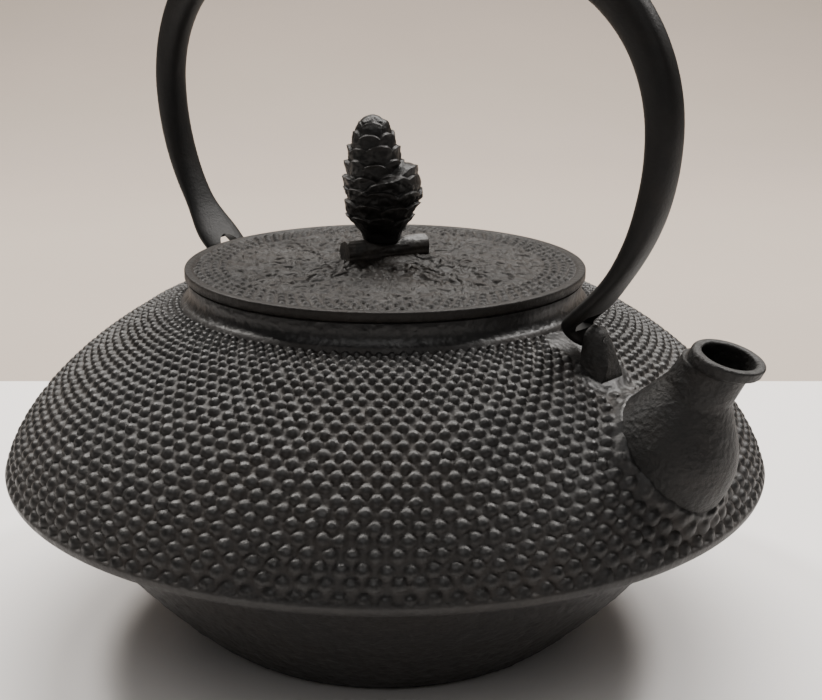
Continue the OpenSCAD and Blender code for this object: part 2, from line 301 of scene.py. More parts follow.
def iron(name, ground, raised_and_painted_shade, rough_ground, rough_raised, skin=0.5, attr=None,
         specular=0.5, grain=900.0, pits=True):
    """Lacquered cast iron: high parts such as studs are darker and smoother than the brown-grey
    ground. The same darker colour also paints shade on some parts, and the ground colour paints
    highlight, wherever the attribute sets it.
    """
    m, t, bsdf = node_tree(name)
    broad = noise_node(t, 28.0, 3.0)
    fine = noise_node(t, grain, 5.0, 0.6)
    medium = noise_node(t, 190.0, 4.0, 0.55)
    warm = tuple(c * k for c, k in zip(ground, (1.22, 1.05, 0.90)))
    low = mix(t, to_range(t, broad, 0, 1, 0.35, 0.65), ground, warm)
    # with the attribute, its value mixes in the darker colour, for the studs' finish and for
    # painted shade; where it is low, the ground colour gives painted highlight
    if attr:
        at = t.nodes.new("ShaderNodeAttribute")
        at.attribute_name = attr
        height = at.outputs["Fac"]
    else:
        height = to_range(t, medium, 0, 1, 0.35, 0.65)
    base = mix(t, height, low, raised_and_painted_shade)
    pale = tuple(min(1, 1.7 * c) for c in ground)
    worn = mix(t, to_range(t, fine, 0, 0.4, 0.45, 0.75), base, pale)
    t.links.new(worn, bsdf.inputs["Base Color"])
    r0 = to_range(t, height, rough_ground, rough_raised)
    add = t.nodes.new("ShaderNodeMath")
    add.operation = "ADD"
    t.links.new(r0, add.inputs[0])
    t.links.new(to_range(t, medium, -0.06, 0.08, 0.3, 0.7), add.inputs[1])
    t.links.new(add.outputs[0], bsdf.inputs["Roughness"])
    bsdf.inputs["Specular IOR Level"].default_value = specular
    layers = [(medium, 0.35 * skin, 0.0006), (fine, 0.5 * skin, 0.00025)]
    if pits:
        layers.append((noise_node(t, 620.0, kind="voronoi"), 0.22 * skin, 0.0003))
    bump(t, layers, bsdf)
    return m


def steel(name, colour, rough):
    """Bare steel with fine lines round it."""
    m, t, bsdf = node_tree(name)
    lines = noise_node(t, 260.0, 6.0, 0.6, stretch=(1, 1, 30))
    broad = noise_node(t, 40.0, 3.0)
    darker = tuple(0.72 * c for c in colour)
    base = mix(t, to_range(t, broad, 0, 1, 0.3, 0.7), colour, darker)
    t.links.new(base, bsdf.inputs["Base Color"])
    bsdf.inputs["Metallic"].default_value = 1.0
    t.links.new(to_range(t, lines, rough - 0.07, rough + 0.1, 0.3, 0.7), bsdf.inputs["Roughness"])
    bump(t, [(lines, 0.12, 0.0001)], bsdf)
    return m


# the second colour is the darker one, for the studs and for painted shade on the shell
GROUND, RAISED_AND_PAINTED_SHADE = (0.0165, 0.0152, 0.0146), (0.0056, 0.0055, 0.0055)
mat_shell = iron("shell_iron", GROUND, RAISED_AND_PAINTED_SHADE, 0.60, 0.40,
                 skin=1.3, attr="raised_and_painted_shade", specular=0.34)
mat_lid = iron("lid_iron", (0.0125, 0.0108, 0.0094), (0.004, 0.0037, 0.0035), 0.56, 0.50,
               skin=1.7, attr="raised_and_painted_shade", specular=0.17)
mat_spout = iron("spout_iron", (0.0072, 0.0068, 0.0065), (0.0045, 0.0043, 0.0041), 0.60, 0.52,
                 skin=2.6, grain=1000.0, specular=0.3)
mat_knob = iron("knob_iron", (0.0062, 0.0056, 0.0052), (0.0036, 0.0034, 0.0032), 0.50, 0.42,
                skin=1.2, attr="raised_and_painted_shade", specular=0.22)
mat_twig = iron("twig_iron", (0.022, 0.0195, 0.0175), (0.011, 0.010, 0.0092), 0.5, 0.42,
                skin=1.6)
mat_handle = iron("handle_iron", (0.0058, 0.0055, 0.0054), (0.0042, 0.0040, 0.0039), 0.56, 0.46,
                  skin=0.8, grain=1200.0, pits=False, specular=0.17)
mat_rivet = steel("rivet_steel", (0.40, 0.38, 0.36), 0.42)
mat_infuser = steel("infuser_steel", (0.66, 0.67, 0.68), 0.30)


# ---------------------------------------------------------------- spout geometry
SPOUT_AT = np.array([LIP_X, 0, LIP_Z])
SPOUT_UP = np.array([math.sin(SPOUT_LEAN), 0, math.cos(SPOUT_LEAN)])
SPOUT_E1 = np.array([math.cos(SPOUT_LEAN), 0, -math.sin(SPOUT_LEAN)])
SPOUT_E2 = np.array([0.0, 1.0, 0.0])
SPOUT_DEPTH, THROAT_DEPTH = 46, 40        # how far the outlines run below the lip
spout_outer = joined([[LIP_R, 0], [LIP_R, -2.5]],
                     bezier([[LIP_R, -2.5], [LIP_R - 0.1, -3.2], [LIP_R - 0.9, -3.9]], 6),
                     bezier([[LIP_R - 0.9, -3.9], [LIP_R - 1.7, -6.4], [LIP_R + 0.1, -13]], 12),
                     bezier([[LIP_R + 0.1, -13], [0.75 * SWELL_R, -20], [1.04 * SWELL_R, -26],
                             [SWELL_R, -34]], 20),
                     bezier([[SWELL_R, -34], [SWELL_R, -42],
                             [SWELL_R - 2.5, -SPOUT_DEPTH]], 16))
spout_inner = joined([[THROAT_R, 0], [THROAT_R, -16]],
                     bezier([[THROAT_R, -16], [THROAT_R, -24], [0.6 * SWELL_R, -30]], 10),
                     [[0.6 * SWELL_R, -30], [0.6 * SWELL_R, -THROAT_DEPTH]])


def spout_space(p):
    """(distance from the spout's axis, place along it from the lip) of points in mm."""
    v = p - SPOUT_AT
    t = v @ SPOUT_UP
    return np.linalg.norm(v - t[..., None] * SPOUT_UP, axis=-1), t


def radius_at(outline, t):
    """Radius of an outline of (r, t) at places t below the lip."""
    return np.interp(-t, -outline[:, 1], outline[:, 0])


# ---------------------------------------------------------------- the shell
def on_shoulder(run, drop):
    """A point at that share of the way out to the brim and down from the neck."""
    return [COLLAR_R + run * (BRIM_R - COLLAR_R), NECK_Z - drop * SHOULDER_H]


shoulder = joined(
    bezier([on_shoulder(0, 0), on_shoulder(0.165, 0.025), on_shoulder(0.315, 0.142)], 40),
    bezier([on_shoulder(0.315, 0.142), on_shoulder(0.60, 0.311),
            on_shoulder(0.961, 0.655), on_shoulder(1.0195, 0.947)], 120))
shoulder_s = arc_length(shoulder)
brim_root = [BRIM_R - 13, BRIM_H - 3.3]
cone_wall = bezier([[BASE_R, 0],
                    [BASE_R + 0.39 * (brim_root[0] - BASE_R), 0.26 * brim_root[1]], brim_root], 60)
lip_roll = bezier([shoulder[-1], [BRIM_R + 0.9, BRIM_H + 0.4], [BRIM_R - 0.6, BRIM_H]], 14)


def shoulder_z(r):
    return np.interp(r, shoulder[:, 0], shoulder[:, 1])


def stud_rows(first, last, pitch):
    """Places of the stud rings along a path, each a fixed share of its radius from the next."""
    rows, s = [], first
    while s > last:
        r = np.interp(s, shoulder_s, shoulder[:, 0])
        rows.append((s, r))
        s -= pitch * r
    return rows


def stud_field(s, theta, rows, around, size, steep):
    """Height from 0 to 1 of a field of round studs over a surface of path s and angle theta."""
    h = np.zeros_like(s)
    jitter = np.random.default_rng(5)
    for k, (row_s, row_r) in enumerate(rows):
        near = np.abs(s - row_s) < 1.6 * row_r * size
        if not near.any():
            continue
        step = TAU / around
        off_a, off_s = jitter.normal(0, 0.05, around), jitter.normal(0, 0.035, around)
        grown = jitter.normal(1, 0.045, around)
        a = theta[near] / step + 0.5 * (k % 2)
        idx = np.round(a).astype(int) % around
        da = (a - np.round(a) + off_a[idx]) * step * row_r
        ds = s[near] - row_s + off_s[idx] * step * row_r
        rho = np.hypot(da, ds * 1.06) / (size * row_r * grown[idx])
        dome = np.where(rho < 1, (1 - np.clip(rho, 0, 1) ** steep) ** 0.55, 0)
        h[near] = np.maximum(h[near], dome)
    return h


def lug_distance(p):
    """Distance in plan from a lug's foot, for both lugs."""
    x, y = np.abs(p[..., 0]), np.abs(p[..., 1])
    centre = LUG_X + 0.5 * LUG_FOOT_T
    u, v = np.abs(x - centre) / (0.5 * LUG_FOOT_T - 0.4), y / (0.5 * LUG_W - 0.6)
    k = np.hypot(u, v)
    return np.maximum(k - 1, 0) * np.hypot(x - centre, y) / np.maximum(k, 1e-6)


def under_foot(p):
    """Distance in plan from the smooth patch between a lug and the collar."""
    x, y = np.abs(p[..., 0]), np.abs(p[..., 1])
    return np.maximum(np.hypot((x - 66) / 1.1, y) - 5.0, 0)


def make_shell():
    """The bowl, shoulder, collar and hollow, in one mesh with the hole to the spout."""
    cols = STUDS_ROUND * 9
    theta = turn(cols)
    brim_edge = [BRIM_R - 0.6, BRIM_H]
    base = joined([[3, 0], [BASE_R - 1.2, 0]],
                  bezier([[BASE_R - 1.2, 0], [BASE_R, 0], [BASE_R + 0.5, 1.0]], 4))
    low = cone_wall[cone_wall[:, 1] > 1.2]
    under = joined(resampled(joined(low, [brim_root, brim_edge]), 1.0), [brim_edge])
    collar_edge = COLLAR_R - COLLAR_WAIST
    collar = bezier([[COLLAR_R, NECK_Z], [COLLAR_R - 2 * COLLAR_WAIST, NECK_Z + 0.3 * COLLAR_H],
                     [collar_edge, COLLAR_Z - 0.5]], 14)
    mouth = np.array([[collar_edge - 0.5, COLLAR_Z], [SEAT_R + 0.4, COLLAR_Z],
                      [SEAT_R, COLLAR_Z - 0.4], [SEAT_R, SEAT_Z], [MOUTH_R, SEAT_Z],
                      [MOUTH_R, NECK_Z - WALL]])
    inner_shoulder = shoulder[::8] - WALL * profile_normals(shoulder)[::8]
    inner_shoulder = inner_shoulder[inner_shoulder[:, 0] > MOUTH_R + 2]
    inner_bowl = (cone_wall + WALL * profile_normals(cone_wall))[::-1][::4]
    inner_bowl = inner_bowl[(inner_bowl[:, 1] > FLOOR_T + 1)
                            & (inner_bowl[:, 0] < inner_shoulder[-1, 0] - 3)]
    floor = np.array([[BASE_R - WALL - 1, FLOOR_T], [3, FLOOR_T]])
    # from the resting face up the outside, over the mouth and down the inside
    line, at = base, {}
    for name, run in (("bowl", under), ("roll", lip_roll[::-1]),
                      ("shoulder", resampled(shoulder[::-1], 0.40)), ("collar", collar),
                      ("mouth", mouth), ("inner_shoulder", inner_shoulder),
                      ("inner_bowl", inner_bowl), ("floor", floor)):
        if np.allclose(run[0], line[-1]):
            run = run[1:]
        at[name] = slice(len(line), len(line) + len(run))
        line = np.concatenate([line, run])
    rows = len(line)
    P, N = spun(line, theta), spun(-profile_normals(line), theta)
    raised_and_painted_shade = np.zeros((rows, cols))
    # studs on the shoulder
    F = P[at["shoulder"]]
    s = np.interp(-F[..., 2], -shoulder[:, 1], shoulder_s)
    th = np.broadcast_to(theta, s.shape)
    edge = smooth(0.0, 0.9, s) * smooth(0.2, 1.4, shoulder_s[-1] - s)
    axis_r, t = spout_space(F)
    outside = axis_r - radius_at(spout_outer, np.clip(t, -SPOUT_DEPTH, 0))
    lug = lug_distance(F)
    calm = smooth(-0.2, 2.6, outside) * smooth(1.8, 4.2, lug) * smooth(0.0, 2.5, under_foot(F))
    rings = stud_rows(RING_FIRST, RING_LAST, RING_PITCH)
    stud = stud_field(s, th, rings, STUDS_ROUND, STUD_SIZE, steep=2.0) * calm
    skin = noise(F, 2.2) * 0.16 + noise(F, 0.9) * 0.10
    root = ((1 - smooth(1.5, 6.0, outside)) * smooth(2.0, 7.0, lug)
            * (1 - smooth(4.0, 7.0, -np.minimum(outside, 0))))
    skin = skin + root * (noise(F, 3.0) * 0.8 + noise(F, 1.6) * 0.5)
    fillet = (3.0 * (1 - np.clip(outside / 6.0, 0, 1)) ** 2.2
              + 0.8 * (1 - smooth(0.0, 3.8, lug)))
    move = (edge * (-STUD_DROP + STUD_DROP * stud + skin * (1 - 0.6 * stud))
            + fillet * (t < -8))
    P[at["shoulder"]] = F + N[at["shoulder"]] * move[..., None]
    # the studs are darker, partly for their smoother finish and partly as painted shade on their
    # dark fronts; the smooth patches at the roots of the lugs and the spout are painted dark as
    # painted shade between the parts
    raised_and_painted_shade[at["shoulder"]] = np.maximum(stud, 0.95 * (1 - calm))
    # cast skin on the lower bowl and the collar
    B = P[at["bowl"]]
    cast = noise(B, 3.4) * 0.34 + noise(B, 1.6) * 0.30 - 0.20
    P[at["bowl"]] = B + N[at["bowl"]] * cast[..., None]
    C = P[at["collar"]]
    cast = (noise(C, 2.4) * 0.16 + noise(C, 1.1) * 0.10) * smooth(0, 1.2, COLLAR_Z - C[..., 2])
    P[at["collar"]] = C + N[at["collar"]] * cast[..., None]
    # the lower bowl under the brim and the collar under the lid are darker: painted shade; the
    # rolled brim edge takes a middle value
    raised_and_painted_shade[at["bowl"]] = 0.6
    raised_and_painted_shade[at["roll"]] = 0.5
    raised_and_painted_shade[at["collar"]] = 1.0
    # the pouring hole through the wall
    axis_r, t = spout_space(P)
    hole = ((axis_r < radius_at(spout_inner, np.clip(t, -THROAT_DEPTH, 0)) + 1.3)
            & (t < -12) & (t > -SPOUT_DEPTH) & (P[..., 0] > 60))
    gone = hole & np.roll(hole, -1, 1)
    gone[:-1] &= hole[1:] & np.roll(hole, -1, 1)[1:]
    below, above = rows * cols, rows * cols + 1
    verts = np.vstack([P.reshape(-1, 3), [[0, 0, 0], [0, 0, FLOOR_T]]])
    faces = [grid_faces(rows, cols, keep=~gone), fan(np.arange(cols), below, flip=True),
             fan((rows - 1) * cols + np.arange(cols), above)]
    o = build("pot_shell", verts, faces, smooth_angle=50)
    attribute(o, "raised_and_painted_shade", np.concatenate([raised_and_painted_shade.ravel(), [0, 0]]))
    place(o, mat_shell, "pot", "kettle_body")


def make_spout():
    """The spout's tube: throat, lip, neck and swell, down into the shoulder."""
    n = 160
    phi = turn(n)
    around = np.cos(phi)[:, None] * SPOUT_E1 + np.sin(phi)[:, None] * SPOUT_E2
    tilt = math.tan(SPOUT_LEAN - LIP_LEAN)

    def root(outline, depth):
        """Where each line down the spout lies that depth below the shoulder."""
        steps = 400
        ts = np.broadcast_to(np.linspace(-12, -45.5, steps), (n, steps))
        r = radius_at(outline, ts)
        p = SPOUT_AT + r[..., None] * around[:, None, :] + ts[..., None] * SPOUT_UP
        g = p[..., 2] - shoulder_z(np.hypot(p[..., 0], p[..., 1])) + depth
        hit = np.argmax(g < 0, axis=1)
        hit[~(g < 0).any(axis=1)] = steps - 1
        return ts[0][hit]

    t_out, t_in = root(spout_outer, 2.4), root(spout_inner, 2.4)
    edge = 0.75
    rows = []
    for k in np.linspace(1, 0, 42):                       # throat, from the root up
        ts = (-edge - 0.4) + k * (t_in + edge + 0.4)
        rows.append((radius_at(spout_inner, ts), ts))
    for a in np.linspace(0, math.pi / 2, 6)[1:]:          # rounded inner edge of the lip
        rows.append((np.full(n, THROAT_R + edge * (1 - math.cos(a))),
                     np.full(n, -edge + edge * math.sin(a))))
    for a in np.linspace(math.pi / 2, 0, 6):              # rounded outer edge
        rows.append((np.full(n, LIP_R - edge * (1 - math.cos(a))),
                     np.full(n, -edge + edge * math.sin(a))))
    for k in np.linspace(0, 1, 90)[1:]:                   # outside, from the lip down
        ts = -edge + (k ** 1.15) * (t_out + edge)
        rows.append((radius_at(spout_outer, ts), ts))
    R = np.array([r for r, _ in rows])
    T = np.array([t for _, t in rows])
    shear = tilt * R * np.cos(phi) * (1 - smooth(2.0, 9.0, -T))
    P = SPOUT_AT + R[..., None] * around + (T + shear)[..., None] * SPOUT_UP
    outer = np.arange(len(rows)) > 48
    # the neck sits a little towards the pot from the lip
    set_back = 2.3 * smooth(2.6, 5.0, -T) * (1 - smooth(8.0, 26.0, -T)) * outer[:, None]
    P = P - set_back[..., None] * SPOUT_E1
    rough = noise(P, 1.7) * 0.10 + noise(P, 1.0) * 0.14 + noise(P, 9.0) * 0.12
    rough *= outer[:, None] * smooth(3.0, 7.0, -T)
    P = P + around * rough[..., None]
    faces = grid_faces(len(rows), n, close_rows=True)[:, ::-1]
    o = build("spout", P.reshape(-1, 3), [faces], smooth_angle=60)
    place(o, mat_spout, "pot", "kettle_body")


def make_lug(side):
    """A cast lug: a rounded fin with a blind hole along X for the handle's peg."""
    n = 64
    # outline of a disc over a wide foot, as (y, z from the pivot)
    reach = math.hypot(0.5 * LUG_W, LUG_ROOT)
    tangent = math.acos(LUG_R / reach)
    corner = math.atan2(-LUG_ROOT, 0.5 * LUG_W)
    a0 = corner + tangent
    disc = [[LUG_R * math.cos(a), LUG_R * math.sin(a)] for a in np.linspace(a0, math.pi - a0, 28)]
    foot = [[-0.5 * LUG_W, -LUG_ROOT], [0.5 * LUG_W, -LUG_ROOT]]
    outline = np.array(disc + foot + disc[:1])
    outline = resampled(outline, arc_length(outline)[-1] / n)[:n]
    bearing = np.arctan2(outline[:, 1], outline[:, 0])
    rim = np.column_stack([np.cos(bearing), np.sin(bearing)]) * (PEG_R + PEG_CLEARANCE)
    at_pivot = LUG_X + LUG_T + 1.0
    rings = []

    def ring(shape, x):
        rings.append(np.column_stack([x * np.ones(len(shape)), shape]))

    def face_x(shape):
        lower = np.clip(-shape[:, 1] / LUG_ROOT, -0.12, 1)
        return at_pivot + (LUG_FOOT_T - LUG_T + 1.0) * lower

    ring(rim, LUG_X)
    ring(rim + (outline - rim) * 0.5, LUG_X)
    ring(outline * 0.93, LUG_X)
    ring(outline * 0.98, LUG_X + 0.25)
    ring(outline, LUG_X + 0.8)
    for k in (0.999, 0.985, 0.96, 0.92, 0.86, 0.78, 0.68, 0.56, 0.42, 0.27, 0.12, 0.01):
        shape = outline * k
        rise = (1 - k ** 2.3) ** 0.5
        ring(shape, LUG_X + 1.0 + (face_x(shape) - LUG_X - 1.0) * rise)
    ring(rim * 0.05, LUG_X + LUG_T + 0.2)
    ring(rim, LUG_X + LUG_T + 0.2)
    ring(rim, LUG_X + 0.3)
    P = np.array(rings)
    P[..., 2] = PIVOT_Z + np.where(P[..., 2] < 0, P[..., 2] * 1.25, P[..., 2])
    P += (noise(P, 3.5) * 0.12)[..., None] * np.array([1, 0.6, 0.6])
    P[..., 0] = np.maximum(P[..., 0], LUG_X)
    if side < 0:
        P[..., 0] *= -1
    faces = grid_faces(len(P), n, close_rows=True)
    o = build("lug_front" if side > 0 else "lug_rear", P.reshape(-1, 3),
              [faces if side > 0 else faces[:, ::-1]], smooth_angle=60)
    place(o, mat_spout, "pot", "kettle_body")


# ---------------------------------------------------------------- the handle
def make_handle():
    """The bail: crown, two corners and two arms, each ending in a foot, a hook and a peg."""
    hook_x = LUG_X - FOOT_GAP
    hook_in = HANDLE_REACH - hook_x
    bow_r = ((BOW_RISE - HOOK_R) ** 2 / (HOOK_R + hook_in) - HOOK_R + hook_in) / 2
    bow_x, bow_z, corner_x = HANDLE_REACH - bow_r, PIVOT_Z + BOW_RISE, HANDLE_REACH - CORNER_R
    crown_end = corner_x + CORNER_R * math.sin(CROWN_SLOPE)
    crown_r = crown_end / math.sin(CROWN_SLOPE)
    crown_z = bow_z + (CORNER_R - crown_r) * math.cos(CROWN_SLOPE)
    start = math.asin((BOW_RISE - HOOK_R) / (bow_r + HOOK_R))

    def arc(cx, cz, r, a, b, n):
        t = np.linspace(a, b, n)
        return np.column_stack([cx + r * np.cos(t), cz + r * np.sin(t)])

    half = joined(arc(0, crown_z, crown_r, math.pi / 2, math.pi / 2 - CROWN_SLOPE, 24),
                  arc(corner_x, bow_z, CORNER_R, math.pi / 2 - CROWN_SLOPE, 0, 40),
                  arc(bow_x, bow_z, bow_r, 0, -start, 50),
                  arc(hook_x, PIVOT_Z + HOOK_R, HOOK_R, math.pi - start, 1.5 * math.pi, 26))
    s = arc_length(half)
    share = s / s[-1]
    half_t = np.interp(share, [0, 0.35, 0.55, 0.75, 0.88, 0.96, 1],
                       [GRIP_T / 2, 0.48 * GRIP_T, 0.4 * GRIP_T, 0.3 * GRIP_T,
                        FOOT_T / 2, FOOT_T / 2, PEG_R])
    half_w = np.interp(share, [0, 0.35, 0.55, 0.75, 0.86, 0.93, 0.965, 0.985, 1],
                       [GRIP_W / 2, 0.46 * GRIP_W, 0.44 * GRIP_W, 0.3 * FOOT_W, 0.32 * FOOT_W,
                        FOOT_W / 2, 0.48 * FOOT_W, 0.28 * FOOT_W, PEG_R])
    kernel = np.hanning(13)
    kernel /= kernel.sum()

    def eased(v):
        out = np.convolve(np.pad(v, 6, mode="edge"), kernel, "valid")
        k = smooth(0.985, 1.0, share)
        return out * (1 - k) + v * k

    half_t, half_w = eased(half_t), eased(half_w)
    power = np.interp(share, [0, 0.5, 0.8, 0.93, 1], [0.90, 0.88, 0.84, 0.70, 1.0])
    # the peg runs on from the hook
    peg_end = LUG_X + LUG_T
    peg = np.array([[hook_x + 0.6, PIVOT_Z], [peg_end - 0.4, PIVOT_Z], [peg_end, PIVOT_Z]])
    half = np.vstack([half, peg])
    half_t = np.concatenate([half_t, [PEG_R, PEG_R, PEG_R - 0.4]])
    half_w = np.concatenate([half_w, [PEG_R, PEG_R, PEG_R - 0.4]])
    power = np.concatenate([power, [1, 1, 1]])
    line = np.vstack([(half * [-1, 1])[:0:-1], half])
    T = np.concatenate([half_t[:0:-1], half_t])
    W = np.concatenate([half_w[:0:-1], half_w])
    E = np.concatenate([power[:0:-1], power])[:, None]
    d = np.gradient(line, axis=0)
    d[0], d[-1] = [1, 0], [1, 0]
    d /= np.linalg.norm(d, axis=1)[:, None]
    side = np.column_stack([-d[:, 1], d[:, 0]])
    n = 56
    a = turn(n)
    ca = np.sign(np.cos(a)) * np.abs(np.cos(a)) ** E
    sa = np.sign(np.sin(a)) * np.abs(np.sin(a)) ** E
    P = np.empty((len(line), n, 3))
    P[..., 0] = line[:, :1] + side[:, :1] * T[:, None] * ca
    P[..., 1] = W[:, None] * sa
    P[..., 2] = line[:, 1:] + side[:, 1:] * T[:, None] * ca
    ease = smooth(3.0, 8.0, np.hypot(np.abs(P[..., 0]) - hook_x, P[..., 2] - PIVOT_Z))
    centre = np.stack([line[:, 0], 0 * line[:, 0], line[:, 1]], axis=-1)[:, None, :]
    wobble = (noise(P, 26.0) * 0.016 + noise(P, 9.0) * 0.010) * ease
    P = centre + (P - centre) * (1 + wobble[..., None])
    rows = len(line)
    verts = np.vstack([P.reshape(-1, 3), centre[0], centre[-1]])
    faces = [grid_faces(rows, n)[:, ::-1], fan(np.arange(n), rows * n),
             fan((rows - 1) * n + np.arange(n), rows * n + 1, flip=True)]
    o = build("handle_forging", verts, faces)
    cut_window(o, hook_x)
    up, down = (Matrix.Translation((0, 0, z)) for z in (PIVOT[2], -PIVOT[2]))
    o.data.transform(up @ Matrix.Rotation(HANDLE_LEAN, 4, "X") @ down)
    place(o, mat_handle, "bail", "handle")


def cut_window(o, hook_x):
    """Cuts the arched window through each foot and keeps the result as the mesh."""
    arch = [[-WINDOW_W / 2, -1], [WINDOW_W / 2, -1]]
    top = WINDOW_H - WINDOW_W / 2
    arch += [[WINDOW_W / 2 * math.cos(a), top + WINDOW_W / 2 * math.sin(a)]
             for a in np.linspace(0, math.pi, 25)]
    arch = np.array(arch)
    n = len(arch)
    z = PIVOT_Z + HOOK_R + 0.5
    x0, x1 = hook_x - HOOK_R - 2 * FOOT_T, hook_x - HOOK_R + FOOT_T + 1
    verts, faces = [], []
    for sign in (1, -1):
        first = len(verts)
        for x in (x0, x1):
            verts += [[sign * x, y, z + h] for y, h in arch]
        for k in range(n):
            m = (k + 1) % n
            q = [first + k, first + m, first + n + m, first + n + k]
            faces.append(q if sign > 0 else q[::-1])
        ends = [list(range(first + n - 1, first - 1, -1)), list(range(first + n, first + 2 * n))]
        faces += ends if sign > 0 else [e[::-1] for e in ends]
    me = bpy.data.meshes.new("window_cut")
    me.from_pydata([[c * MM for c in v] for v in verts], [], faces)
    cutter = bpy.data.objects.new("window_cut", me)
    bpy.context.scene.collection.objects.link(cutter)
    m = o.modifiers.new("windows", "BOOLEAN")
    m.operation, m.object, m.solver = "DIFFERENCE", cutter, "EXACT"
    cut = bpy.data.meshes.new_from_object(o.evaluated_get(bpy.context.evaluated_depsgraph_get()))
    o.modifiers.clear()
    o.data = cut
    bpy.data.objects.remove(cutter)
    cut.polygons.foreach_set("use_smooth", np.ones(len(cut.polygons), bool))
    cut.set_sharp_from_angle(angle=math.radians(48))


# ---------------------------------------------------------------- lid and knob
def make_lid():
    """The lid's plate, with rings of studs, wrinkles inside them and a mound for the twig."""
    cols = LID_STUDS_ROUND * 11
    theta = turn(cols)
    ring_r = SEAT_R - 0.4
    crown = bezier([[LID_R - 0.55, LID_Z + LID_T], [LID_R / 2, LID_TOP], [1.5, LID_TOP]], 100)
    top = resampled(crown, 0.40)[::-1]
    edge = joined(bezier([top[-1], [LID_R, LID_Z + LID_T], [LID_R, LID_Z + LID_T - 0.7]], 6))
    below = [[LID_R, LID_Z + 0.4], [LID_R - 0.4, LID_Z],
             [ring_r, LID_Z], [ring_r, SEAT_Z + 1.9], [ring_r - 0.4, SEAT_Z + 1.5],
             [ring_r - 3.1, SEAT_Z + 1.5], [ring_r - 3.5, SEAT_Z + 1.9],
             [ring_r - 3.5, LID_Z - 0.4], [ring_r - 3.9, LID_Z], [1.5, LID_Z]]
    line = np.vstack([top, edge[1:], below])
    rows = len(line)
    P = spun(line, theta)
    raised_and_painted_shade = np.full((rows, cols), 0.55)
    k = len(top)
    F = P[:k]
    r = np.hypot(F[..., 0], F[..., 1])
    th = np.broadcast_to(theta, r.shape)
    rings = [(q, q) for q in (54.0, 51.6, 49.2, 46.8)]
    h = stud_field(r, th, rings, LID_STUDS_ROUND, 0.0225, steep=2.2)
    inside = 1 - smooth(44.5, 46.5, r)
    warp = np.stack([noise(F + 40, 6.0), noise(F + 90, 6.0), 0 * r], axis=-1)
    G = F * [1, 1, 0] + warp * 3.0
    creases = -(1 - np.clip(np.abs(noise(G, 3.0)) * 4.5, 0, 1)) * 0.75
    wrinkle = creases + 0.3 + noise(G, 4.4) * 0.95 + noise(G + 7, 1.4) * 0.45
    field = inside * wrinkle + (1 - inside) * noise(F, 1.1) * 0.09
    band = 1 - smooth(54.8, 56.0, r)
    cos_t, sin_t = math.cos(TWIG_TURN), math.sin(TWIG_TURN)
    along = F[..., 0] * cos_t + F[..., 1] * sin_t
    across = -F[..., 0] * sin_t + F[..., 1] * cos_t
    near = np.hypot(np.maximum(np.abs(along) - 11, 0), np.maximum(np.abs(across) - 2.2, 0))
    mound = 1.5 * np.exp(-(near / 3.2) ** 2) + 0.5 * np.exp(-(near / 8.0) ** 2)
    fade = smooth(2, 14, r)
    P[:k, :, 2] += (0.95 * h * (1 - inside) + mound
                    + (field * fade - 0.85) * band * np.where(r < LID_R, 1, 0))
    # inside the stud rings the creases of the wrinkles are darker than their ridges, as painted
    # shade in the creases; the studs are darker, partly for their smoother finish and partly as
    # painted shade on their fronts
    raised_and_painted_shade[:k] = np.clip(0.25 + 0.6 * h * (1 - inside) + inside * (0.2 - 0.5 * wrinkle), 0, 1)
    # the rim band is darker: painted shade on its side
    raised_and_painted_shade[:k] = np.where(r > 55.5, 0.6, raised_and_painted_shade[:k])
    verts = np.vstack([P.reshape(-1, 3), [[0, 0, P[0, :, 2].mean()], [0, 0, LID_Z]]])
    faces = [grid_faces(rows, cols)[:, ::-1], fan(np.arange(cols), rows * cols),
             fan((rows - 1) * cols + np.arange(cols), rows * cols + 1, flip=True)]
    o = build("lid_casting", verts, faces, smooth_angle=55)
    attribute(o, "raised_and_painted_shade", np.concatenate([raised_and_painted_shade.ravel(), [0.5, 0.5]]))
    place(o, mat_lid, "lid", "lid_plate")


FRONT = math.radians(42)     # the knob's ledge rises towards this side


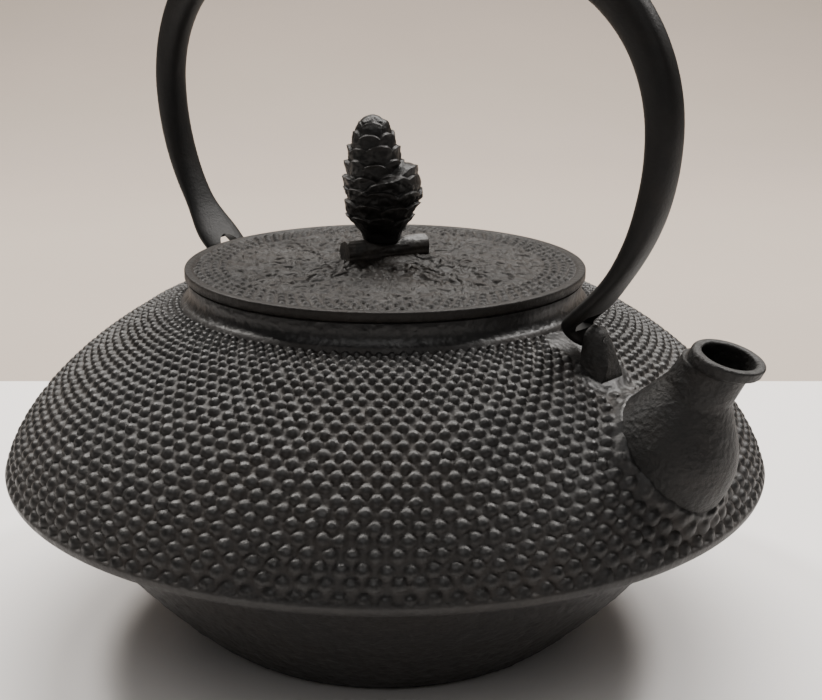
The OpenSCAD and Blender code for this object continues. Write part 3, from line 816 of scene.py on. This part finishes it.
def make_cone():
    """The knob: a plain lower cone, a ledge and rings of overlapping scales."""
    rows, cols = 250, 220
    z = np.linspace(CONE_FOOT + 0.02, CONE_TOP - 0.05, rows)
    Z, TH = np.meshgrid(z, turn(cols), indexing="ij")
    lower = np.interp(Z, [114.2, 116.5, 118.9, 122.1, 126.4, 131.9, 136],
                      [5.4, 6.3, 8.0, 10.0, 10.9, 11.3, 11.2])
    upper = np.interp(Z, [120, 126, 129.8, 132, 135.9, 138,
                          141.2, 143.8, 146.5, 148.4, 149.6, 150.1],
                      [10.0, 10.3, 9.9, 9.2, 8.5, 8.0, 7.0, 6.0, 4.9, 3.6, 2.0, 0.3])
    ledge = 131.6 + 4.6 * np.cos(TH - FRONT) + 0.6 * np.sin(5 * TH)
    w = smooth(-0.35, 0.35, Z - ledge)
    lower = lower + 1.5 * np.cos(TH - FRONT) * smooth(122, 130, Z)
    R = lower * (1 - w) + upper * w
    petals = np.random.default_rng(3)
    bump_h = np.zeros_like(R)
    tip_highlight = np.zeros_like(R)
    level, k = CONE_FOOT + 4.5, 0
    while level < CONE_TOP - 1.0:
        n = 8 if level < 138 else (6 if level < 145 else 4)
        for j in range(n):
            c = (j + 0.5 * (k % 2) + petals.normal(0, 0.06)) / n * TAU
            zc = level + petals.normal(0, 0.35)
            tall, amp = petals.uniform(0.85, 1.15), petals.uniform(0.8, 1.2)
            here = np.interp(zc, z, R[:, 0])
            da = (TH - c + math.pi) % TAU - math.pi
            width = 0.60 * TAU / n * np.maximum(here, 3.2)
            dx = da * here / width
            arch = np.sqrt(np.clip(1 - dx * dx, 0, 1))
            up = (Z - zc) / (4.4 * tall)
            tip = 0.12 + 0.62 * arch
            ramp_up = np.clip((up + 0.75) / (tip + 0.75), 0, 1)
            lip = 1 - smooth(tip - 0.10, tip + 0.05, up)
            h = amp * ramp_up ** 1.3 * lip * arch ** 0.6 * (np.abs(dx) < 1)
            bump_h = np.maximum(bump_h, h)
            # the upper part of each scale is marked to be lighter: painted highlight where light
            # from above catches its edge
            tip_highlight = np.maximum(tip_highlight, h * smooth(tip - 0.45, tip - 0.1, up))
        level += 3.9 if level < 140 else 3.0
        k += 1
    size = np.interp(Z, [114, 118, 124, 140, 148, 150], [0.15, 1.1, 2.1, 1.9, 1.3, 0.2])
    R = R - 0.75 * size * 0.8 + bump_h * size
    P = np.stack([R * np.cos(TH), R * np.sin(TH), Z], axis=-1)
    rough = noise(P, 3.2) * 0.8 + noise(P, 1.4) * 0.4
    R = np.clip(R + rough * np.interp(Z, [114, 118, 148], [0.2, 1.0, 0.6]), 0.25, 12.4)
    lean = (Z - CONE_FOOT) * 0.040 + 1.0 + 1.1 * smooth(128, 136, Z)
    P = np.stack([R * np.cos(TH) - lean * math.cos(FRONT),
                  R * np.sin(TH) - lean * math.sin(FRONT), Z], axis=-1)
    n = rows * cols
    verts = np.vstack([P.reshape(-1, 3), [P[0].mean(0), P[-1].mean(0) + [0, 0, 0.03]]])
    faces = [grid_faces(rows, cols), fan(np.arange(cols), n, flip=True),
             fan((rows - 1) * cols + np.arange(cols), n + 1)]
    o = build("pine_cone_casting", verts, faces, smooth_angle=70)
    # the cone takes the darker colour but for the scales' upper edges, which are lighter as
    # painted highlight
    attribute(o, "raised_and_painted_shade", np.concatenate([np.clip(1 - tip_highlight, 0, 1).ravel(), [0.5, 0.5]]))
    place(o, mat_knob, "lid", "pine_cone")


def make_twig():
    """The short log under the knob, flat where it meets the lid and the cone."""
    length, r0 = TWIG_L, TWIG_R
    along = np.array([math.cos(TWIG_TURN), math.sin(TWIG_TURN), 0.0])
    across = np.array([-along[1], along[0], 0.0])
    rows, cols = 130, 96
    x = np.linspace(-length / 2, length / 2, rows)
    X, A = np.meshgrid(x, turn(cols), indexing="ij")
    Q = np.stack([X / 6, np.cos(A) * r0, np.sin(A) * r0], axis=-1)
    bark = noise(Q, 0.9) * 0.30 + noise(Q + 9, 2.2) * 0.35
    swell = 0.25 * np.exp(-((X - 7) / 2.2) ** 2) * (1 + np.cos(A - 1.2)) + 0.02 * np.abs(X)
    R = r0 - 0.22 + bark + swell
    R = np.minimum(R, r0 + 0.05)
    centre_z = LID_TOP + r0 - 0.3
    skirt = 1.6 * np.clip(-np.sin(A) - 0.35, 0, 1) * np.sign(np.cos(A))
    P = (X[..., None] * along + (R * np.cos(A) + skirt)[..., None] * across
         + (centre_z + R * np.sin(A))[..., None] * np.array([0, 0, 1.0]))
    P[..., 2] = np.clip(P[..., 2], LID_TOP - 0.35, CONE_FOOT + 0.6)
    caps = []
    for sgn, row in ((-1, 0), (1, rows - 1)):
        ring = P[row]
        mid = ring.mean(0)
        rings = [mid + (ring - mid) * k + along * sgn * (0.16 if j % 2 else 0.0)
                 for j, k in enumerate((0.93, 0.74, 0.55, 0.34, 0.14))]
        caps.append((rings, mid))
    n = rows * cols
    verts = [P.reshape(-1, 3)]
    faces = [grid_faces(rows, cols)[:, ::-1]]
    at = n
    for (rings, mid), row, sgn in zip(caps, (0, rows - 1), (-1, 1)):
        prev = row * cols + np.arange(cols)
        for ring in rings:
            verts.append(ring)
            cur = at + np.arange(cols)
            q = np.column_stack([prev, np.roll(prev, -1), np.roll(cur, -1), cur])
            faces.append(q if sgn < 0 else q[:, ::-1])
            prev, at = cur, at + cols
        verts.append(mid[None] + along * sgn * 0.1)
        faces.append(fan(prev, at, flip=sgn > 0))
        at += 1
    o = build("twig_casting", np.vstack(verts), faces, smooth_angle=60)
    place(o, mat_twig, "lid", "twig")


def revolve(name, line, cols, angle):
    """A closed solid of revolution about Z from (r, z) in mm whose ends lie on the axis."""
    mid = line[1:-1]
    n = len(mid) * cols
    ends = [[0, 0, line[0, 1]], [0, 0, line[-1, 1]]]
    verts = np.vstack([spun(mid, turn(cols)).reshape(-1, 3), ends])
    faces = [grid_faces(len(mid), cols), fan(np.arange(cols), n, flip=True),
             fan((len(mid) - 1) * cols + np.arange(cols), n + 1)]
    return build(name, verts, faces, smooth_angle=angle)


def make_rivet():
    """The rivet up through the lid into the knob, and its washer."""
    lo, hi = (np.array(v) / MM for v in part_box("knob_rivet"))
    head_r, shank_r, head_h = hi[0], 2.0, 2.0
    head = bezier([[0.1, lo[2] + 0.02], [0.98 * head_r, lo[2] + 0.05],
                   [head_r, lo[2] + 0.85 * head_h]], 12)
    line = joined([[0, lo[2]], [0.1, lo[2] + 0.02]], head,
                  [head[-1], [head_r - 0.1, lo[2] + head_h], [shank_r, lo[2] + head_h],
                   [shank_r, hi[2] - 0.5], [shank_r - 0.5, hi[2]], [0, hi[2]]])
    rivet = revolve("rivet", line, 72, 35)
    place(rivet, mat_rivet, "lid", "knob_rivet")
    lo, hi = (np.array(v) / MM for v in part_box("knob_washer"))
    outer, hole = hi[0], shank_r + 0.05
    e = 0.25
    loop = np.array([[hole, lo[2] + e], [hole + e, lo[2]], [outer - e, lo[2]], [outer, lo[2] + e],
                     [outer, hi[2] - e], [outer - e, hi[2]], [hole + e, hi[2]], [hole, hi[2] - e]])
    washer = hoop("washer", loop, 72, 35)
    place(washer, mat_rivet, "lid", "knob_washer")


# ---------------------------------------------------------------- the infuser
def perforated(name, cells, outer, inner):
    """A sheet of square cells (u, v, open) with an eight-sided hole in each open one.

    outer and inner map points in cell units to the sheet's two faces, in mm.
    """
    ring = [(0, 0), (0.5, 0), (1, 0), (1, 0.5), (1, 1), (0.5, 1), (0, 1), (0, 0.5)]
    hole = [(0.5 + HOLE_SHARE * math.cos(a), 0.5 + HOLE_SHARE * math.sin(a))
            for a in (math.radians(-135 + 45 * k) for k in range(8))]
    n = 16 * len(cells)                                   # points on each face of the sheet
    uv, quads, plugs = [], [], []
    for u, v, is_open in cells:
        at = len(uv)
        uv += [(u + p, v + q) for p, q in ring + hole]
        for k in range(8):
            m = (k + 1) % 8
            a, b, c, d = at + k, at + m, at + 8 + m, at + 8 + k
            quads += [[a, b, c, d], [n + d, n + c, n + b, n + a]]
            if is_open:
                quads.append([d, c, n + c, n + d])
        if not is_open:
            plugs.append([at + 8 + k for k in range(8)])
            plugs.append([n + at + 15 - k for k in range(8)])
    uv = np.array(uv)
    o = build(name, np.vstack([outer(uv), inner(uv)]), [np.array(quads), np.array(plugs)])
    bm = bmesh.new()
    bm.from_mesh(o.data)
    bmesh.ops.remove_doubles(bm, verts=bm.verts, dist=0.00002)
    bm.to_mesh(o.data)
    bm.free()
    o.data.set_sharp_from_angle(angle=math.radians(35))
    return o


def make_infuser():
    """The infuser's perforated wall and floor and its rolled rim."""
    lo, hi = (np.array(v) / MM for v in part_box("infuser_wall"))
    radius = hi[0]
    n = 96                                                # holes round the wall
    rows = int((hi[2] - lo[2]) / (TAU * radius / n))
    step_z = (hi[2] - lo[2]) / rows

    def on(r):
        return lambda uv: np.column_stack([r * np.cos(uv[:, 0] * TAU / n),
                                           r * np.sin(uv[:, 0] * TAU / n),
                                           lo[2] + uv[:, 1] * step_z])

    cells = [(u, v, 1 < v < rows - 2) for u in range(n) for v in range(rows)]
    wall = perforated("infuser_mesh_wall", cells, on(radius), on(radius - SHEET))
    place(wall, mat_infuser, "infuser", "infuser_wall")

    lo, hi = (np.array(v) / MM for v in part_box("infuser_floor"))
    rings, count, inner_r = 14, 72, 2.0
    pitch = (hi[0] - inner_r) / rings

    def flat(z):
        return lambda uv: np.column_stack(
            [(inner_r + uv[:, 1] * pitch) * np.cos(uv[:, 0] * TAU / count),
             (inner_r + uv[:, 1] * pitch) * np.sin(uv[:, 0] * TAU / count),
             np.full(len(uv), z)])

    # the inner rings have room for every second hole only, or for none
    cells = [(u, v, v < rings - 1 and (v >= 6 or (v >= 2 and u % 2 == 0)))
             for v in range(rings) for u in range(count)]
    bottom = perforated("infuser_mesh_floor", cells, flat(lo[2]), flat(hi[2]))
    place(bottom, mat_infuser, "infuser", "infuser_floor")

    lo, hi = (np.array(v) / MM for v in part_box("infuser_rim"))
    outer, inner, e = hi[0], radius - SHEET, 0.3
    half_z = lo[2] + 0.5 * (hi[2] - lo[2])
    loop = joined(bezier([[inner, lo[2]], [inner, hi[2]], [inner + 1.4, hi[2]]], 6),
                  [[inner + 1.4, hi[2]], [outer - 1.6, hi[2] - 0.1]],
                  bezier([[outer - 1.6, hi[2] - 0.1], [outer, hi[2]], [outer, half_z]], 5),
                  bezier([[outer, half_z], [outer, lo[2]], [outer - e, lo[2]]], 4),
                  [[outer - e, lo[2]], [inner + 0.2, lo[2]]])[::-1]
    rim = hoop("infuser_rolled_rim", loop, 144, 40)
    place(rim, mat_infuser, "infuser", "infuser_rim")


make_shell()
make_spout()
make_lug(1)
make_lug(-1)
make_handle()
make_lid()
make_cone()
make_twig()
make_rivet()
make_infuser()


# ---------------------------------------------------------------- camera, stage and light
def stage_material(name, colour, rough):
    m, t, bsdf = node_tree(name)
    soft = noise_node(t, 6.0, 3.0)
    grain = noise_node(t, 420.0, 3.0)
    dark = tuple(0.965 * c for c in colour)
    base = mix(t, to_range(t, soft, 0, 1, 0.3, 0.7), colour, dark)
    t.links.new(base, bsdf.inputs["Base Color"])
    bsdf.inputs["Roughness"].default_value = rough
    bump(t, [(grain, 0.04, 0.0002)], bsdf)
    return m


AZIMUTH = math.radians(42)
RIGHT = Vector((math.cos(AZIMUTH), math.sin(AZIMUTH), 0))
AWAY = Vector((-math.sin(AZIMUTH), math.cos(AZIMUTH), 0))
CAMERA_BACK, CAMERA_UP, CAMERA_PITCH = 0.39798, 0.19664, math.radians(16.231)
LENS, SENSOR, SHIFT_PX, PICTURE_PX = 61.31, 36, 26, 822

cam = bpy.data.objects.new("camera", bpy.data.cameras.new("camera"))
bpy.context.scene.collection.objects.link(cam)
cam.data.lens = LENS
cam.data.sensor_width = SENSOR
cam.data.shift_x = SHIFT_PX / PICTURE_PX
cam.data.clip_start, cam.data.clip_end = 0.01, 20
cam.location = -AWAY * CAMERA_BACK + Vector((0, 0, CAMERA_UP))
cam.rotation_euler = (math.pi / 2 - CAMERA_PITCH, 0, AZIMUTH)
bpy.context.scene.camera = cam


def stage_mesh(name, verts, faces, material):
    me = bpy.data.meshes.new(name)
    me.from_pydata(verts, [], faces)
    me.polygons.foreach_set("use_smooth", np.ones(len(faces), bool))
    me.materials.append(material)
    o = bpy.data.objects.new(name, me)
    bpy.context.scene.collection.objects.link(o)
    return o


TABLE_BACK, TABLE_T = 0.2265, 0.02
WALL_FOOT, WALL_BEND, WALL_TOP = 0.9, 1.5, 4.0


def make_table():
    """A pale table top whose far edge lies a hand's width behind the pot."""
    near, half, e = -1.6, 1.9, 0.0012
    outline = [(near, 0), (TABLE_BACK - e, 0), (TABLE_BACK - 0.3 * e, -0.3 * e),
               (TABLE_BACK, -e), (TABLE_BACK, -TABLE_T), (near, -TABLE_T)]
    verts = [AWAY * d + RIGHT * s * half + Vector((0, 0, h)) for s in (-1, 1) for d, h in outline]
    n = len(outline)
    faces = [(k, (k + 1) % n, n + (k + 1) % n, n + k) for k in range(n)]
    o = stage_mesh("table", verts, faces, stage_material("table_top", (0.74, 0.715, 0.70), 0.42))
    o.data.polygons.foreach_set("use_smooth", np.zeros(n, bool))


def make_backdrop():
    """A floor that sweeps up into a plain wall far behind the table."""
    path = [(-4.0, -TABLE_T), (WALL_FOOT, -TABLE_T)]
    path += [(WALL_FOOT + WALL_BEND * math.sin(a), -TABLE_T + WALL_BEND * (1 - math.cos(a)))
             for a in np.linspace(0, math.pi / 2, 24)[1:]]
    path.append((WALL_FOOT + WALL_BEND, WALL_TOP))
    half = 5.0
    verts = [AWAY * d + RIGHT * s * half + Vector((0, 0, h)) for s in (-1, 1) for d, h in path]
    n = len(path)
    faces = [(k, k + 1, n + k + 1, n + k) for k in range(n - 1)]
    paint = stage_material("backdrop_paint", (0.33, 0.278, 0.236), 0.9)
    stage_mesh("backdrop", verts, faces, paint)


def area(name, where, size, power, colour, target=(0, 0, 0.05)):
    """An area light; where is (right, away, up) in metres from the pot, power is in watts."""
    l = bpy.data.lights.new(name, "AREA")
    l.shape = "RECTANGLE"
    l.size, l.size_y = size
    l.energy = power
    l.color = colour
    o = bpy.data.objects.new(name, l)
    bpy.context.scene.collection.objects.link(o)
    o.location = RIGHT * where[0] + AWAY * where[1] + Vector((0, 0, where[2]))
    o.rotation_mode = "QUATERNION"
    o.rotation_quaternion = (o.location - Vector(target)).to_track_quat("Z", "Y")


make_table()
make_backdrop()
area("ceiling", (0.1, 0.8, 1.5), (1.5, 0.6), 60, (1.0, 0.97, 0.93))
area("key_left", (-0.75, 0.55, 1.1), (0.22, 0.22), 18, (1.0, 0.96, 0.91))
area("key_right", (0.85, 0.45, 1.15), (0.24, 0.24), 18, (1.0, 0.97, 0.94))
area("front_fill", (-0.1, -1.1, 1.3), (1.2, 0.8), 8.5, (1.0, 0.98, 0.96))
area("wall_wash", (0.0, 1.0, 1.9), (3.0, 0.6), 14, (1.0, 0.97, 0.93),
     target=(*(AWAY * 2.2)[:2], 0.6))

world = bpy.data.worlds.new("room")
bpy.context.scene.world = world
world.use_nodes = True
background = world.node_tree.nodes["Background"]
background.inputs["Color"].default_value = (0.80, 0.78, 0.76, 1)
background.inputs["Strength"].default_value = 0.17
